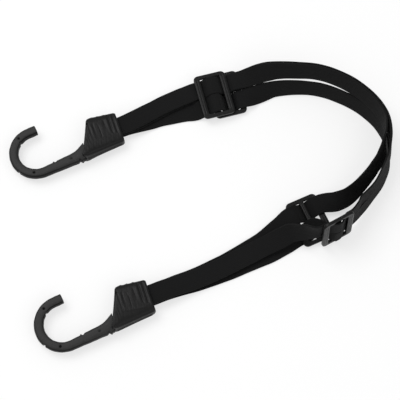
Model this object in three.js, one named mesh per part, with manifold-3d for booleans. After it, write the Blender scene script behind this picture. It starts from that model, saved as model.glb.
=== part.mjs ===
// Adjustable flat elastic strap with a moulded hook at each end.
// Units are millimetres, +Z is up; the strap lies on the table as a U that opens to the left.
import * as THREE from 'three';
import * as BufferGeometryUtils from 'three/addons/utils/BufferGeometryUtils.js';
import Module from 'manifold-3d';

const wasm = await Module();
wasm.setup();
const { Manifold, Mesh: ManifoldMesh } = wasm;

// Counts and tolerances of the modelling itself
const two = 2;
const half = 0.5;
const halfTurn = 180;
const quarterTurn = 90;
const mergeDistance = 1e-5;
const rodSides = 12;
const sheathSides = 14;
const arcSteps = 22;
const holeSides = 10;
const pathDivisions = 4000;
const probeStep = 0.05;
const cutOverrun = 1;
const sheathSquareness = 0.72;

// Webbing of the three elastic bands
const bandWidth = 14;
const bandThickness = 1.4;
const bandEdgeRound = 0.4;
const layGap = 0.35;
const bendGap = 1.1;
const sideGap = 0.4;
const fineStep = 1.3;
const coarseStep = 6.5;
const fineReach = 20;

// Slider frame
const sliderLength = 24.2;
const slotClear = 0.5;
const railWidth = 3;
const barWidth = 3.3;
const endBarWidth = 4.6;
const barThickness = 2.4;
const sliderCorner = 3.4;
const slotCorner = 0.8;
const sliderBevel = 0.6;
const ridgeHeight = 0.35;
const ridgeWidth = 0.7;
const ridgePitch = 1.5;
const ridgeSink = 0.4;
const weaveGap = 0.4;
const barDwell = 1;
const endBarDwell = 1.5;
const upperPairStep = 9.4;
const upperYaw = 0;
const lowerPairStep = 11.4;
const standTilt = 96;
const standYaw = 5;
const standShift = 8.6;
const standGap = 0.64;

// Hook, drawn flat with its socket mouth at the origin and the strap leaving along +X
const hookRadius = 16.7;
const shankRun = 31.4;
const hookCentreY = 1.7;
const shankAngle = 6.5;
const tipLength = 6.4;
const sheathWidth = 6.7;
const sheathHeight = 6.9;
const shankWideWidth = 8.8;
const shankWideHeight = 8.4;
const flareWidth = 3.2;
const coreDiameter = 3.8;
const coreTipCover = 3.2;
const pinHoleDiameter = 1.4;
const pinHoleDepth = 0.8;
const notchLength = 1.5;
const notchDepth = 0.5;

// Socket
const socketLength = 32.1;
const socketSideWall = 4.6;
const socketWall = 1.24;
const socketClear = 0.05;
const socketCorner = 2.2;
const socketBevel = 2.3;
const socketBevelReach = 1;
const mouthHeightShare = 0.78;
const cavitySideRoom = 1.4;
const cavityRoom = 0.25;
const cavityEndRoom = 1.85;
const lipLength = 2.4;
const lipClear = 0.6;
const pocketLength = 4;
const flangeThickness = 1;
const flangeReach = 0.9;
const grooveDepth = 0.6;
const grooveWidth = 1;
const bumpRadius = 1.2;
const bumpHeight = 6.5;

// Crimp clip, cross bar and the ends of the bands
const fitGap = 0.3;
const clipInset = 0.2;
const clipThickness = 0.8;
const clipFrontX = -4.4;
const clipFlare = 0.3;
const clipRibX = -8.5;
const clipRibWidth = 1.4;
const crossBarX = -17.4;
const crossBarClear = 0.6;
const crossBendRadius = 4.2;
const crossBendSteps = 6;
const bandEndInset = 2.6;

// Fits that follow from the sizes above
const layStep = bandThickness + layGap;
const sideStep = (bandWidth + sideGap) * half;
const weaveStep = (barThickness + bandThickness) * half + weaveGap;
const barPitch = (sliderLength - endBarWidth) * half;
const lowSliderZ = bandThickness + weaveGap + barThickness * half;
const highSliderZ = lowSliderZ + weaveStep * two;
const coreBore = coreDiameter + fitGap * two;
const clipInner = layStep + bandThickness * half + fitGap;
const clipOuter = clipInner + clipThickness;
const bandInside = -(crossBarX + bandEndInset);
const slotWidth = bandWidth * two + sideGap + slotClear * two;
const sliderHalfWide = slotWidth * half + railWidth;
const clipHalfWidth = bandWidth * half - clipInset;
const cavityHalfWidth = bandWidth * half + cavitySideRoom;
const cavityHalfHeight = clipOuter + clipFlare + cavityRoom;
const cavityEndX = crossBarX - clipOuter - cavityEndRoom;
const crossBarHalf = cavityHalfWidth - crossBarClear;
const lipHalfWidth = bandWidth * half + lipClear;
const lipHalfHeight = layStep + bandThickness * half + lipClear;
const mouthHalf = lipHalfWidth + socketSideWall;
const socketHeight = (cavityHalfHeight + socketWall) * two / mouthHeightShare;
const socketMid = socketHeight * half + socketClear;
const shankEndX = -(socketLength + fitGap);
const hookCentreX = shankEndX - shankRun;

// Plan of the strap: hand-chosen points of its middle line, from the upper socket to the lower one
const upperMouth = [-59.5, 53.8];
const lowerMouth = [-34.8, -74.6];
const armHeading = 19.5;
const planPoints = [
  [-37, 61.9], [-16, 70.8], [-2.3, 77.3], [10.3, 80.6], [32.6, 86.4], [50, 90.2], [70, 91.2],
  [90, 88.5], [108, 81], [122.5, 70], [132.2, 56.5], [136.5, 42], [137.6, 27], [133.8, 12.5], [125.2, 0],
  [116.6, -7.6], [110, -13.3], [105.5, -15.35], [92, -21.4], [79, -27.3], [66.8, -32.9], [50, -40.2], [35.4, -46.7],
  [18, -54.8], [0, -62.2], [-17.5, -68.6],
];

// Sliders: distance along the plan line, sideways shift, height, tilt and yaw about the strap. The third stands
// on its rail beside the fourth, which lies flat
const radians = (degrees) => degrees * Math.PI / halfTurn;
const upperAt = 89.84;
const lowerAt = 324.2;
const lean = radians(standTilt);
const standHeight = sliderHalfWide * Math.sin(lean) + barThickness * half * Math.abs(Math.cos(lean)) + fitGap;
const standFoot = standShift + (lowSliderZ - standHeight) / Math.tan(lean);
const lowShift = standFoot - barThickness * half / Math.sin(lean) - standGap - sliderHalfWide;
const upperTop = { at: upperAt, shift: 0, height: highSliderZ, tilt: 0, yaw: upperYaw, over: 1 };
const upperLow = { at: upperAt + upperPairStep, shift: 0, height: lowSliderZ, tilt: 0, yaw: upperYaw, over: -1 };
const lowerTop = { at: lowerAt, shift: standShift, height: standHeight, tilt: standTilt, yaw: standYaw, over: -1 };
const lowerLow = {
  at: lowerAt + lowerPairStep, shift: lowShift, height: lowSliderZ, tilt: halfTurn, yaw: 0, over: -1,
};

// Plan line with distance along it
const headingX = Math.cos(radians(armHeading));
const headingY = Math.sin(radians(armHeading));
const intoSocket = (mouth) => [mouth[0] - bandInside * headingX, mouth[1] - bandInside * headingY];
const planAll = [intoSocket(upperMouth), upperMouth, ...planPoints, lowerMouth, intoSocket(lowerMouth)];
const planCurve = new THREE.CatmullRomCurve3(
  planAll.map(([x, y]) => new THREE.Vector3(x, y, 0)), false, 'centripetal');
planCurve.arcLengthDivisions = pathDivisions;
const planLength = planCurve.getLength();

function planFrame(distance) {
  const share = THREE.MathUtils.clamp(distance / planLength, 0, 1);
  const point = planCurve.getPointAt(share);
  const along = planCurve.getTangentAt(share).setZ(0).normalize();
  const outward = new THREE.Vector3(-along.y, along.x, 0);
  return { point, along, outward };
}

// A row of a band route is [distance, sideways, height, tilt]
function bandLane(slider, run, across, lift) {
  const tilt = radians(slider.tilt);
  const yaw = radians(slider.yaw);
  const reach = across * Math.cos(tilt) - lift * Math.sin(tilt);
  const distance = slider.at + run * Math.cos(yaw) - reach * Math.sin(yaw);
  const sideways = slider.shift + run * Math.sin(yaw) + reach * Math.cos(yaw);
  const height = slider.height + across * Math.sin(tilt) + lift * Math.cos(tilt);
  return [distance, sideways, height, slider.tilt];
}

// Rows that hold a band level over or under one bar; bar is -1, 0 or 1 along the strap
function barRows(slider, bar, across, lift, extra = 0) {
  const centre = bar * barPitch;
  const dwell = bar === 0 ? barDwell : endBarDwell;
  return [
    bandLane(slider, centre - dwell, across, lift),
    bandLane(slider, centre + dwell + extra, across, lift),
  ];
}

// The bundle in the bend: [distance, tilt, shift, room between the upper and lower strips]
const bendTable = [
  [121, 22, 0.6, 0.4], [136, 48, -0.6, 0.6], [151, 62, -1, 2.6], [170, 65, -0.8, 4],
  [190, 69, -0.2, 2.6], [208, 75, 0.6, 1], [225, 82, 1.2, 0.8], [240, 90, 0, 0.8],
  [256, 102, -1.2, 1], [271, 108, -1.8, 1.6], [285, 108, -1.2, 2],
];

function bendRows(strip, layer) {
  return bendTable.map(([distance, tilt, shift, room]) => {
    const angle = radians(tilt);
    const lowCentre = bandWidth * half * Math.sin(angle)
      + bandThickness * half * Math.abs(Math.cos(angle)) + layGap;
    const across = strip > 0 ? bandWidth + room : 0;
    const start = shift - sideStep * Math.cos(angle);
    const lift = layer * (bandThickness + bendGap) * half;
    return [
      distance,
      start + across * Math.cos(angle) - lift * Math.sin(angle),
      lowCentre + across * Math.sin(angle) + lift * Math.cos(angle),
      tilt,
    ];
  });
}

// Hand-chosen route rows between the sockets and the sliders
const stackLow = socketMid - layStep;
const stackTop = socketMid + layStep;
const restLow = bandThickness * half;
const restMid = restLow + layStep;
const restTop = restMid + layStep;
const nearSide = -sideStep;
const farSide = sideStep;
const liftOff = 0.4;
const slackLift = 0.1;
const mouthDrop = 1.4;
const crossLift = 0.2;
const crossDwell = 1.6;
const twistEase = 0.1;
const twistDwell = 0.9;
const landingRise = 1.2;
const partFrom = 250;

const bandC = [
  [0, 0, stackLow, 0], [19, 0, stackLow, 0], [42, -2.2, restLow + liftOff, 0], [56, -4.2, restLow, 0],
  [65, -5.7, restLow, 0], [71.5, nearSide, restLow, 0],
  ...barRows(upperTop, -1, nearSide, -weaveStep),
  ...barRows(upperTop, 0, nearSide, weaveStep),
  ...barRows(upperLow, 0, nearSide, -weaveStep),
  ...barRows(upperLow, 1, nearSide, weaveStep),
  ...bendRows(-1, 0),
  [299, 2.8, 8.6, 104],
  ...barRows(lowerTop, -1, nearSide + crossLift, weaveStep),
  ...barRows(lowerTop, 0, nearSide + crossLift, -weaveStep - twistEase, twistDwell),
  [331.2, 3.4, 11.4, 136], [334.2, -0.2, 9.3, 154], [337.6, -2.2, 6.2, 176],
  ...barRows(lowerLow, 1, nearSide, weaveStep),
  [358.5, -0.4, restLow, 180], [375, 2.6, restLow, 180], [400, 3.2, restLow, 180],
  [424, 2.4, restLow + slackLift, 180], [446, 0.5, stackLow - mouthDrop, 180], [457, 0, stackLow, 180],
  [planLength, 0, stackLow, 180],
];

const bandA = [
  [0, 0, socketMid, 0], [19, 0, socketMid, 0], [42, 2.2, restMid + liftOff, 0], [56, 4.2, restMid, 0],
  [65, 5.7, restMid, 0], [71.5, farSide, restMid, 0],
  ...barRows(upperTop, -1, farSide, -weaveStep - layStep),
  ...barRows(upperLow, -1, farSide, weaveStep),
  ...barRows(upperLow, 0, farSide, -weaveStep),
  ...barRows(upperLow, 1, farSide, weaveStep),
  ...bendRows(1, -1),
  [299, -0.8, 23, 104],
  ...barRows(lowerTop, -1, farSide + crossLift, weaveStep),
  ...barRows(lowerTop, 0, farSide + crossLift, -weaveStep),
  ...barRows(lowerTop, 1, farSide + crossLift, weaveStep + crossLift, crossDwell),
  [346.4, 0.8, 17.6, 122], [356.5, -4.4, 10.6, 150], [371, -4.4, restTop + landingRise, 172],
  [387, -2.8, restTop, 180], [401, -1.8, restTop, 180], [424, -0.4, restTop + slackLift, 180],
  [446, 0, stackTop - mouthDrop, 180], [457, 0, stackTop, 180], [planLength, 0, stackTop, 180],
];

const bandB = [
  [0, 0, stackTop, 0], [19, 0, stackTop, 0], [42, 2.2, restTop + liftOff, 0], [56, 4.2, restTop, 0],
  [65, 5.7, restTop, 0], [71.5, farSide, restTop, 0],
  ...barRows(upperTop, -1, farSide, -weaveStep),
  ...barRows(upperTop, 0, farSide, weaveStep),
  ...barRows(upperTop, 1, farSide, -weaveStep),
  ...barRows(upperLow, 1, farSide, weaveStep + layStep + crossLift),
  ...bendRows(1, 1).filter(([distance]) => distance < partFrom),
  [256, -5.5, 21.5, 106], [271, -10, 17, 122], [285, -12, 13.5, 138], [298, -12.6, 10.6, 150],
  [312, -12.6, 8.6, 163],
  ...barRows(lowerLow, -1, farSide, -weaveStep - crossLift),
  ...barRows(lowerLow, 0, farSide, weaveStep),
  ...barRows(lowerLow, 1, farSide, -weaveStep - crossLift),
  [358.5, -14.8, restMid, 180], [375, -11, restMid, 180], [400, -5.8, restMid, 180],
  [424, -2.6, restMid + slackLift, 180], [446, -0.5, socketMid - mouthDrop, 180], [457, 0, socketMid, 180],
  [planLength, 0, socketMid, 180],
];

// Monotone cubic through one column of the rows, level at every high and low point
function columnCurve(rows, column) {
  const count = rows.length;
  const gaps = [];
  const slopes = [];
  for (let i = 0; i < count - 1; i += 1) {
    gaps.push(rows[i + 1][0] - rows[i][0]);
    slopes.push((rows[i + 1][column] - rows[i][column]) / gaps[i]);
  }
  const tangents = rows.map((row, i) => {
    if (i === 0) return 0;
    if (i === count - 1) return 0;
    if (slopes[i - 1] * slopes[i] <= 0) return 0;
    const before = two * gaps[i] + gaps[i - 1];
    const after = gaps[i] + two * gaps[i - 1];
    return (before + after) / (before / slopes[i - 1] + after / slopes[i]);
  });
  return (distance) => {
    let i = 0;
    while (i < count - two && rows[i + 1][0] < distance) i += 1;
    const t = THREE.MathUtils.clamp((distance - rows[i][0]) / gaps[i], 0, 1);
    const rise = rows[i + 1][column] - rows[i][column];
    const start = tangents[i] * gaps[i];
    const end = tangents[i + 1] * gaps[i];
    const square = t * t;
    const cube = square * t;
    const blend = square * (two + 1) - cube * two;
    return rows[i][column] + rise * blend + start * (cube - two * square + t) + end * (cube - square);
  };
}

function bandPlace(curves, distance) {
  const frame = planFrame(distance);
  const place = frame.point.clone().addScaledVector(frame.outward, curves.side(distance));
  place.z = curves.height(distance);
  return { place, outward: frame.outward };
}

function bandStations(rows) {
  const curves = { side: columnCurve(rows, 1), height: columnCurve(rows, two), tilt: columnCurve(rows, two + 1) };
  const sliders = [upperTop, upperLow, lowerTop, lowerLow];
  const distances = [0];
  while (distances[distances.length - 1] < planLength - fineStep) {
    const here = distances[distances.length - 1];
    const near = Math.min(...sliders.map((slider) => Math.abs(slider.at - here)));
    const room = THREE.MathUtils.clamp((near - fineReach) * half, fineStep, coarseStep);
    distances.push(here + room);
  }
  distances[distances.length - 1] = planLength;
  return distances.map((distance) => {
    const here = bandPlace(curves, distance);
    const back = bandPlace(curves, Math.max(distance - probeStep, 0)).place;
    const ahead = bandPlace(curves, Math.min(distance + probeStep, planLength)).place;
    const along = ahead.sub(back).normalize();
    const angle = radians(curves.tilt(distance));
    const across = here.outward.clone().multiplyScalar(Math.cos(angle));
    across.z = Math.sin(angle);
    across.addScaledVector(along, -across.dot(along)).normalize();
    const face = new THREE.Vector3().crossVectors(along, across);
    return { centre: here.place, across, face };
  });
}

// Closed solid through rings of equal point count; rings run anticlockwise about the travel direction
function loftRings(rings) {
  const sides = rings[0].length;
  const last = rings.length - 1;
  const points = rings.flat().flatMap((point) => [point.x, point.y, point.z]);
  const faces = [];
  for (let i = 0; i < last; i += 1) {
    for (let j = 0; j < sides; j += 1) {
      const next = (j + 1) % sides;
      const a = i * sides + j;
      const b = i * sides + next;
      faces.push(a, b, b + sides, a, b + sides, a + sides);
    }
  }
  for (let j = 1; j < sides - 1; j += 1) {
    faces.push(0, j + 1, j);
    faces.push(last * sides, last * sides + j, last * sides + j + 1);
  }
  const geometry = new THREE.BufferGeometry();
  geometry.setAttribute('position', new THREE.Float32BufferAttribute(points, two + 1));
  geometry.setIndex(faces);
  return geometry;
}

function bandSolid(rows) {
  const wide = bandWidth * half;
  const thick = bandThickness * half;
  const profile = [
    [wide, 0], [wide - bandEdgeRound, thick], [bandEdgeRound - wide, thick],
    [-wide, 0], [bandEdgeRound - wide, -thick], [wide - bandEdgeRound, -thick],
  ];
  const rings = bandStations(rows).map(({ centre, across, face }) => profile.map(([a, b]) => (
    centre.clone().addScaledVector(across, a).addScaledVector(face, b))));
  return loftRings(rings);
}

// Boolean helpers
function toManifold(geometry) {
  const bare = geometry.clone();
  bare.deleteAttribute('normal');
  bare.deleteAttribute('uv');
  const merged = BufferGeometryUtils.mergeVertices(bare, mergeDistance);
  const mesh = new ManifoldMesh({
    numProp: 3,
    vertProperties: Float32Array.from(merged.attributes.position.array),
    triVerts: Uint32Array.from(merged.index.array),
  });
  return new Manifold(mesh);
}

function fromManifold(solid) {
  const mesh = solid.getMesh();
  const geometry = new THREE.BufferGeometry();
  geometry.setAttribute('position', new THREE.Float32BufferAttribute(mesh.vertProperties, mesh.numProp));
  geometry.setIndex(Array.from(mesh.triVerts));
  return geometry;
}

function boxAt(sizeX, sizeY, sizeZ, x, y, z) {
  return toManifold(new THREE.BoxGeometry(sizeX, sizeY, sizeZ).translate(x, y, z));
}

function pinAt(diameter, height, x, y, z) {
  const pin = new THREE.CylinderGeometry(diameter * half, diameter * half, height, holeSides);
  return toManifold(pin.rotateX(radians(quarterTurn)).translate(x, y, z));
}

function roundedShape(corners, radius) {
  const shape = new THREE.Shape();
  corners.forEach((corner, i) => {
    const before = corners[(i + corners.length - 1) % corners.length];
    const after = corners[(i + 1) % corners.length];
    const point = new THREE.Vector2(...corner);
    const back = new THREE.Vector2(...before).sub(point);
    const ahead = new THREE.Vector2(...after).sub(point);
    const start = point.clone().addScaledVector(back.normalize(), radius);
    const end = point.clone().addScaledVector(ahead.normalize(), radius);
    if (i === 0) shape.moveTo(start.x, start.y);
    else shape.lineTo(start.x, start.y);
    shape.quadraticCurveTo(point.x, point.y, end.x, end.y);
  });
  shape.closePath();
  return shape;
}

const rectangle = (left, low, right, high) => [[left, low], [right, low], [right, high], [left, high]];

// Slider with three bars and two slots, thickness along local Z; the ridges sit on the side away from the bands
function sliderSolid(slider) {
  const halfLength = sliderLength * half;
  const halfSlot = slotWidth * half;
  const outline = rectangle(-halfLength, -sliderHalfWide, halfLength, sliderHalfWide);
  const shape = roundedShape(outline, sliderCorner);
  const slotNear = barWidth * half;
  const slotFar = halfLength - endBarWidth;
  [[-slotFar, -slotNear], [slotNear, slotFar]].forEach(([left, right]) => {
    shape.holes.push(roundedShape(rectangle(left, -halfSlot, right, halfSlot), slotCorner));
  });
  const body = new THREE.ExtrudeGeometry(shape, {
    depth: barThickness - sliderBevel * two,
    bevelThickness: sliderBevel,
    bevelSize: sliderBevel,
    bevelOffset: -sliderBevel,
    bevelSegments: 1,
    curveSegments: 3,
  }).translate(0, 0, sliderBevel - barThickness * half);
  let solid = toManifold(body);
  const ridgeTall = ridgeHeight + ridgeSink;
  const ridgeZ = slider.over * (barThickness * half + ridgeHeight - ridgeTall * half);
  [-1, 1].forEach((end) => {
    [-1, 1].forEach((side) => {
      const x = end * barPitch + side * ridgePitch * half;
      solid = solid.add(boxAt(ridgeWidth, slotWidth, ridgeTall, x, 0, ridgeZ));
    });
  });
  const frame = planFrame(slider.at);
  const angle = radians(slider.tilt);
  const yaw = radians(slider.yaw);
  const upright = new THREE.Vector3(0, 0, 1);
  const along = frame.along.clone().applyAxisAngle(upright, yaw);
  const across = frame.outward.clone().applyAxisAngle(upright, yaw).multiplyScalar(Math.cos(angle));
  across.z = Math.sin(angle);
  const face = new THREE.Vector3().crossVectors(along, across);
  const place = frame.point.clone().addScaledVector(frame.outward, slider.shift);
  place.z = slider.height;
  const turn = new THREE.Matrix4().makeBasis(along, across, face).setPosition(place);
  return fromManifold(solid).applyMatrix4(turn);
}

// Rings down the shank as shares of its length, and the rounded tip as [reach, size] shares of the rod
const shankShares = [1, 0.94, 0.88, 0.78, 0.4];
const flareFromShare = 0.78;
const tipShares = [[0.09, 0.9], [0.157, 0.66], [0.187, 0.36]];

// Middle line of the hook from the socket to the tip, as stations with position, direction and distance
function hookLine(endCut) {
  const angle = radians(shankAngle);
  const direction = new THREE.Vector2(Math.cos(angle), Math.sin(angle));
  const centre = new THREE.Vector2(hookCentreX, hookCentreY);
  const foot = centre.clone().add(new THREE.Vector2(direction.y, -direction.x).multiplyScalar(hookRadius));
  const crown = centre.clone().add(new THREE.Vector2(-direction.y, direction.x).multiplyScalar(hookRadius));
  const shankLength = (shankEndX - foot.x) / direction.x;
  const line = [];
  shankShares.forEach((share) => {
    const point = foot.clone().addScaledVector(direction, shankLength * share);
    line.push({ point, heading: direction.clone().negate(), share });
  });
  for (let i = 0; i <= arcSteps; i += 1) {
    const turn = Math.PI * i / arcSteps;
    const outward = new THREE.Vector2(direction.y, -direction.x).rotateAround(new THREE.Vector2(), -turn);
    const point = centre.clone().addScaledVector(outward, hookRadius);
    line.push({ point, heading: new THREE.Vector2(outward.y, -outward.x), share: 0 });
  }
  const tip = tipLength - endCut;
  [half, 1].forEach((part) => {
    const point = crown.clone().addScaledVector(direction, tip * part);
    line.push({ point, heading: direction.clone(), share: 0 });
  });
  return line;
}

function ringAround(point, heading, width, height, sides, squareness) {
  const across = new THREE.Vector3(-heading.y, heading.x, 0);
  const ring = [];
  for (let i = 0; i < sides; i += 1) {
    const turn = two * Math.PI * (i + half) / sides;
    const c = Math.cos(turn);
    const s = Math.sin(turn);
    const a = Math.sign(c) * Math.abs(c) ** squareness * width * half;
    const b = Math.sign(s) * Math.abs(s) ** squareness * height * half;
    ring.push(new THREE.Vector3(point.x, point.y, socketMid).addScaledVector(across, a).setZ(socketMid + b));
  }
  return ring;
}

// Locating-pin holes on the shank and on the arc, and mould notches as [angle on the arc, side]
const shankPinShare = 0.7;
const arcPinTurns = [248.4, 123.8];
const notchTurns = [[152, 1], [206, 1], [240, 1], [262, -1]];

// The shank widens on its inner side where it runs into the socket
function flareAt(share) {
  const rise = Math.max(share - flareFromShare, 0) / (1 - flareFromShare);
  return flareWidth * rise * rise;
}

const pinHole = (spot, top) => (
  pinAt(pinHoleDiameter, pinHoleDepth + cutOverrun, spot.x, spot.y, top + (cutOverrun - pinHoleDepth) * half));

// Moulded sheath: flat-topped rod that widens into the socket and closes with a rounded tip
function sheathSolid() {
  const line = hookLine(0);
  const rings = line.map(({ point, heading, share }) => {
    const flare = flareAt(share);
    const wide = sheathWidth + (shankWideWidth - sheathWidth) * share + flare;
    const tall = sheathHeight + (shankWideHeight - sheathHeight) * share;
    const inner = new THREE.Vector2(heading.y, -heading.x).multiplyScalar(flare * half);
    return ringAround(point.clone().add(inner), heading, wide, tall, sheathSides, sheathSquareness);
  });
  const end = line[line.length - 1];
  tipShares.forEach(([reach, share]) => {
    const point = end.point.clone().addScaledVector(end.heading, reach * sheathWidth);
    rings.push(ringAround(point, end.heading, sheathWidth * share, sheathHeight * share, sheathSides,
      sheathSquareness));
  });
  let solid = toManifold(loftRings(rings));
  const inner = hookLine(coreTipCover);
  const mouth = inner[0];
  const outside = mouth.point.clone().addScaledVector(mouth.heading, -cutOverrun);
  inner.unshift({ point: outside, heading: mouth.heading });
  const bore = inner.map(({ point, heading }) => ringAround(point, heading, coreBore, coreBore, rodSides, 1));
  solid = solid.subtract(toManifold(loftRings(bore)));
  const shankPin = line[0].point.clone().lerp(line[shankShares.length].point, 1 - shankPinShare);
  const shankTall = sheathHeight + (shankWideHeight - sheathHeight) * shankPinShare;
  solid = solid.subtract(pinHole(shankPin, socketMid + shankTall * half));
  arcPinTurns.forEach((turn) => {
    const spot = new THREE.Vector2(hookRadius, 0).rotateAround(new THREE.Vector2(), radians(turn));
    spot.add(new THREE.Vector2(hookCentreX, hookCentreY));
    solid = solid.subtract(pinHole(spot, socketMid + sheathHeight * half));
  });
  notchTurns.forEach(([turn, side]) => {
    const angle = radians(turn);
    const reach = hookRadius + side * (sheathWidth + cutOverrun - notchDepth) * half;
    const x = hookCentreX + reach * Math.cos(angle);
    const y = hookCentreY + reach * Math.sin(angle);
    const cut = new THREE.BoxGeometry(notchDepth + cutOverrun, notchLength, notchLength * two);
    solid = solid.subtract(toManifold(cut.rotateZ(angle).translate(x, y, socketMid)));
  });
  return solid;
}

// Steel core: follows the hook, enters the socket and turns across it as a bar
function corePath() {
  const line = hookLine(coreTipCover + fitGap).reverse();
  const stations = line.map(({ point, heading }) => ({ point, heading: heading.clone().negate() }));
  const last = stations[stations.length - 1];
  const angle = radians(shankAngle);
  const bendStartX = crossBarX - crossBendRadius;
  const run = (bendStartX - last.point.x) / Math.cos(angle);
  const bendStart = last.point.clone().addScaledVector(last.heading, run);
  const pivot = new THREE.Vector2(bendStart.x, bendStart.y + crossBendRadius);
  for (let i = 0; i <= crossBendSteps; i += 1) {
    const turn = angle + (Math.PI * half - angle) * i / crossBendSteps;
    const point = new THREE.Vector2(pivot.x + crossBendRadius * Math.sin(turn),
      pivot.y - crossBendRadius * Math.cos(turn));
    stations.push({ point, heading: new THREE.Vector2(Math.cos(turn), Math.sin(turn)) });
  }
  const end = stations[stations.length - 1];
  stations.push({ point: new THREE.Vector2(end.point.x, crossBarHalf), heading: end.heading });
  return stations;
}

function coreRod(diameter) {
  return loftRings(corePath().map(({ point, heading }) => (
    ringAround(point, heading, diameter, diameter, rodSides, 1))));
}

// Socket seen from above, mouth on the right: x in shares of its length, y in shares of half its mouth
const socketShares = [[0, -1], [0, 1], [-0.66, 1.148], [-0.816, 0.033], [-0.99, -0.3], [-1, -1.279]];
const flangeShares = [[-0.05, -1], [-0.05, 0], [-0.872, 0], [-0.978, -1.262]];
// Moulded grooves on both faces: [x, low y, high y]
const grooveShares = [
  [-0.1, -0.951, 0.967], [-0.187, -0.975, 0.984], [-0.324, 0.279, 1], [-0.424, 0.541, 1.033],
  [-0.536, 0.311, 1.057], [-0.343, -1.016, -0.492], [-0.48, -1.066, -0.377], [-0.617, -1.098, -0.607],
  [-0.76, -1.131, -0.705], [-0.879, -1.148, -0.787],
];
const bumpShares = [[-0.28, 1.033], [-0.417, 1.066], [-0.555, 1.098]];
const socketPinShares = [[-0.455, 0.049], [-0.698, 0.721]];
const onSocket = ([x, y]) => [x * socketLength, y * mouthHalf];

const socketScale = (x) => 1 + (mouthHeightShare - 1) * THREE.MathUtils.clamp(1 + x / socketLength, 0, 1);

function socketSolid() {
  const shape = roundedShape(socketShares.map(onSocket), socketCorner);
  const body = new THREE.ExtrudeGeometry(shape, {
    depth: socketHeight - socketBevel * two,
    bevelThickness: socketBevel,
    bevelSize: socketBevelReach,
    bevelOffset: -socketBevelReach,
    bevelSegments: 2,
    curveSegments: 2,
  }).translate(0, 0, socketBevel - socketHeight * half);
  let solid = toManifold(body);
  const flangeOutline = flangeShares.map(onSocket).map(([x, y]) => [x, y < 0 ? y - flangeReach : 0]);
  const flange = roundedShape(flangeOutline, socketCorner);
  const plate = new THREE.ExtrudeGeometry(flange, { depth: flangeThickness, bevelEnabled: false, curveSegments: 2 });
  solid = solid.add(toManifold(plate.translate(0, 0, -flangeThickness * half)));
  bumpShares.map(onSocket).forEach(([x, y]) => {
    solid = solid.add(pinAt(bumpRadius * two, bumpHeight, x, y, 0));
  });
  const tall = socketHeight * half;
  grooveShares.forEach(([along, low, high]) => {
    const length = (high - low) * mouthHalf;
    const middle = (low + high) * half * mouthHalf;
    [-1, 1].forEach((side) => {
      const z = side * (tall + (cutOverrun - grooveDepth) * half);
      const groove = boxAt(grooveWidth, length, grooveDepth + cutOverrun, along * socketLength, middle, z);
      solid = solid.subtract(groove);
    });
  });
  solid = solid.warp((point) => {
    point[two] = socketMid + point[two] * socketScale(point[0]);
  });
  const cavityLength = -cavityEndX - lipLength;
  solid = solid.subtract(boxAt(cavityLength, cavityHalfWidth * two, cavityHalfHeight * two,
    -lipLength - cavityLength * half, 0, socketMid));
  solid = solid.subtract(boxAt(lipLength + cutOverrun * two, lipHalfWidth * two, lipHalfHeight * two,
    -lipLength * half, 0, socketMid));
  solid = solid.subtract(toManifold(coreRod(coreBore)));
  const wide = shankWideWidth + flareWidth + fitGap * two;
  const pocket = boxAt(pocketLength, wide, shankWideHeight + fitGap * two, 0, flareWidth * half, 0);
  const start = hookLine(0)[0].point;
  const pocketX = start.x + fitGap - pocketLength * half;
  solid = solid.subtract(pocket.rotate([0, 0, shankAngle]).translate([pocketX, start.y, socketMid]));
  socketPinShares.map(onSocket).forEach(([x, y]) => {
    solid = solid.subtract(pinHole({ x, y }, socketMid + tall * socketScale(x)));
  });
  return solid;
}

// Crimp clip: a hairpin of sheet steel round the cross bar with its jaws over the band ends
function clipSolid() {
  const shape = new THREE.Shape();
  const frontInner = clipInner + clipFlare;
  const frontOuter = clipOuter + clipFlare;
  const ribNear = clipRibX + clipRibWidth;
  const ribFar = clipRibX - clipRibWidth;
  shape.moveTo(clipFrontX, frontOuter);
  shape.lineTo(ribNear, clipOuter);
  shape.lineTo(clipRibX, clipOuter - clipFlare * half);
  shape.lineTo(ribFar, clipOuter);
  shape.lineTo(crossBarX, clipOuter);
  shape.absarc(crossBarX, 0, clipOuter, Math.PI * half, Math.PI * (1 + half), false);
  shape.lineTo(ribFar, -clipOuter);
  shape.lineTo(clipRibX, -clipOuter + clipFlare * half);
  shape.lineTo(ribNear, -clipOuter);
  shape.lineTo(clipFrontX, -frontOuter);
  shape.lineTo(clipFrontX, -frontInner);
  shape.lineTo(ribNear, -clipInner);
  shape.lineTo(crossBarX, -clipInner);
  shape.absarc(crossBarX, 0, clipInner, Math.PI * (1 + half), Math.PI * half, true);
  shape.lineTo(ribNear, clipInner);
  shape.lineTo(clipFrontX, frontInner);
  shape.closePath();
  const sheet = new THREE.ExtrudeGeometry(shape, { depth: clipHalfWidth * two, bevelEnabled: false, curveSegments: 8 });
  return sheet.rotateX(radians(quarterTurn)).translate(0, clipHalfWidth, socketMid);
}

// Materials
function material(color, roughness, metalness) {
  return new THREE.MeshStandardMaterial({ color, roughness, metalness });
}

const group = new THREE.Group();
group.name = 'elastic_strap';

function addPart(name, geometry, look) {
  const bare = geometry.index ? geometry : BufferGeometryUtils.mergeVertices(geometry, mergeDistance);
  bare.computeVertexNormals();
  const mesh = new THREE.Mesh(bare, look);
  mesh.name = name;
  group.add(mesh);
}

const webbing = { color: 0x141414, roughness: 0.9, metalness: 0 };
const routes = { band_a: bandA, band_b: bandB, band_c: bandC };
Object.entries(routes).forEach(([name, rows]) => {
  addPart(name, bandSolid(rows), material(webbing.color, webbing.roughness, webbing.metalness));
});

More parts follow.
